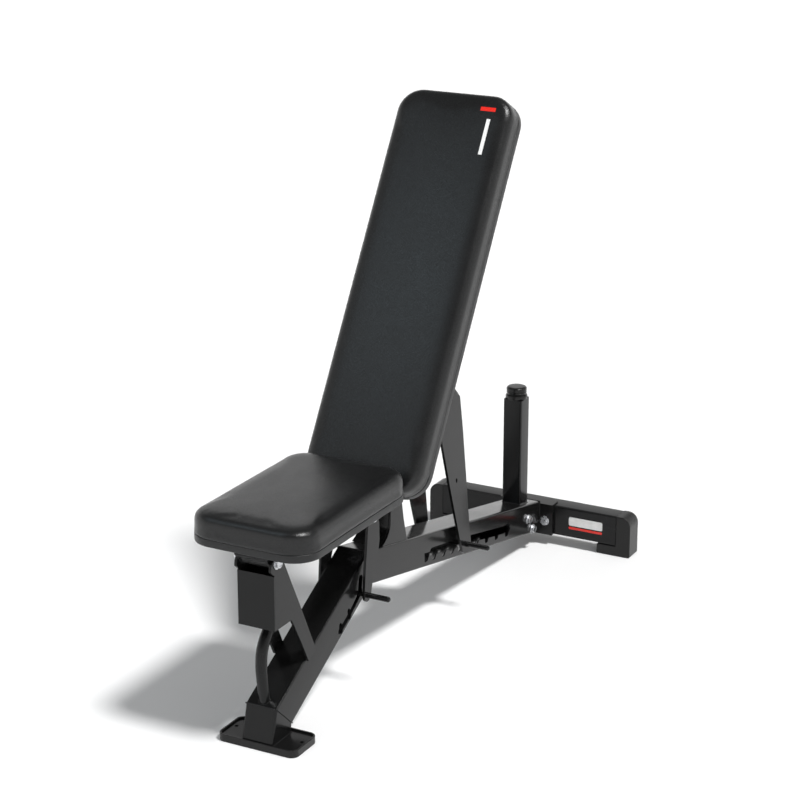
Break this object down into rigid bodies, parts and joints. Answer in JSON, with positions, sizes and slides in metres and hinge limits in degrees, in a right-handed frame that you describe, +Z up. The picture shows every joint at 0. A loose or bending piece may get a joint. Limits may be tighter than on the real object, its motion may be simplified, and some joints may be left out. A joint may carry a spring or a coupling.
{
  "type": "adjustable weight bench",
  "caption": "Adjustable weight bench: padded seat and reclining back on a black steel base, each propped by a strut that hooks into a toothed ladder.",
  "frame": {"origin": "centre of the bounding box, on the floor", "axes": "+X to the side of the pull handles, +Y from the seat to the rear foot, +Z up; the back is stored reclined at 58.6 degrees from flat"},
  "size_m": [0.5394, 1.3474, 1.1674],
  "materials": {
    "black_paint": "smooth glossy black powder coat",
    "upholstery": "matt fine-grained synthetic leather over foam",
    "pad_board": "plywood board wrapped in black synthetic leather",
    "rubber": "matt moulded black rubber",
    "zinc_hardware": "bright zinc-plated fasteners",
    "bronze_bush": "oiled sintered bronze"
  },
  "bodies": {
    "base": {"back_pivot_bolt": "zinc_hardware", "back_pivot_nut": "zinc_hardware", "beam_bolt_lower": "zinc_hardware", "beam_bolt_upper": "zinc_hardware", "beam_end_sleeve": "black_paint", "flange_bolt_left": "zinc_hardware", "flange_bolt_right": "zinc_hardware", "foot_stub": "black_paint", "front_cover_plate": "black_paint", "front_foot_pad": "rubber", "front_foot_plate": "black_paint", "front_leg": "black_paint", "front_side_plate_left": "black_paint", "front_side_plate_right": "black_paint", "grab_handle": "black_paint", "main_beam": "black_paint", "rear_cross_tube": "black_paint", "rear_flange_plate": "black_paint", "rear_foot_cap_left": "rubber", "rear_foot_cap_right": "rubber", "rear_post": "black_paint", "rear_post_stopper": "rubber", "riser_plate_left": "black_paint", "riser_plate_right": "black_paint", "seat_pivot_bolt": "zinc_hardware", "seat_pivot_nut": "zinc_hardware"},
    "seat": {"seat_base_board": "pad_board", "seat_cross_plate": "black_paint", "seat_cushion": "upholstery", "seat_front_bracket": "black_paint", "seat_pivot_bush": "bronze_bush", "seat_rail_left": "black_paint", "seat_rail_right": "black_paint", "seat_screw_front": "zinc_hardware", "seat_screw_rear": "zinc_hardware"},
    "seat_strut": {"seat_ladder_pin": "black_paint", "seat_strut_hinge_pin": "zinc_hardware", "seat_strut_plate_left": "black_paint", "seat_strut_plate_right": "black_paint"},
    "back": {"back_base_board": "pad_board", "back_cross_bar": "black_paint", "back_cushion": "upholstery", "back_hinge_plate_left": "black_paint", "back_hinge_plate_right": "black_paint", "back_lug_left": "black_paint", "back_lug_right": "black_paint", "back_mount_plate_lower": "black_paint", "back_mount_plate_upper": "black_paint", "back_pivot_bush": "bronze_bush", "back_rest_plate": "black_paint", "back_screw_lower_left": "zinc_hardware", "back_screw_lower_right": "zinc_hardware", "back_screw_upper_left": "zinc_hardware", "back_screw_upper_right": "zinc_hardware", "back_spine": "black_paint"},
    "back_strut": {"back_ladder_pin": "black_paint", "back_strut_hinge_pin": "zinc_hardware", "back_strut_plate_left": "black_paint", "back_strut_plate_right": "black_paint", "back_strut_tie": "black_paint"}
  },
  "joints": [
    {"name": "seat_tilt", "type": "hinge", "parent": "base", "child": "seat", "pos_m": [0, -0.621, 0.398], "axis": [1, 0, 0], "range_deg": [-12, 0]},
    {"name": "seat_strut_swing", "type": "hinge", "parent": "seat", "child": "seat_strut", "pos_m": [0, -0.262, 0.372], "axis": [1, 0, 0], "range_deg": [-12, 0]},
    {"name": "back_tilt", "type": "hinge", "parent": "base", "child": "back", "pos_m": [0, -0.135, 0.38], "axis": [1, 0, 0], "range_deg": [-58.64, 16.36]},
    {"name": "back_strut_swing", "type": "hinge", "parent": "back", "child": "back_strut", "pos_m": [0, 0.038, 0.535], "axis": [1, 0, 0], "range_deg": [-27.24, 97.64]}
  ],
  "couplings": [
    {"joint": "seat_strut_swing", "follows": "seat_tilt", "ratio": 1},
    {"joint": "back_strut_swing", "follows": "back_tilt", "ratio": -1.665}
  ]
}
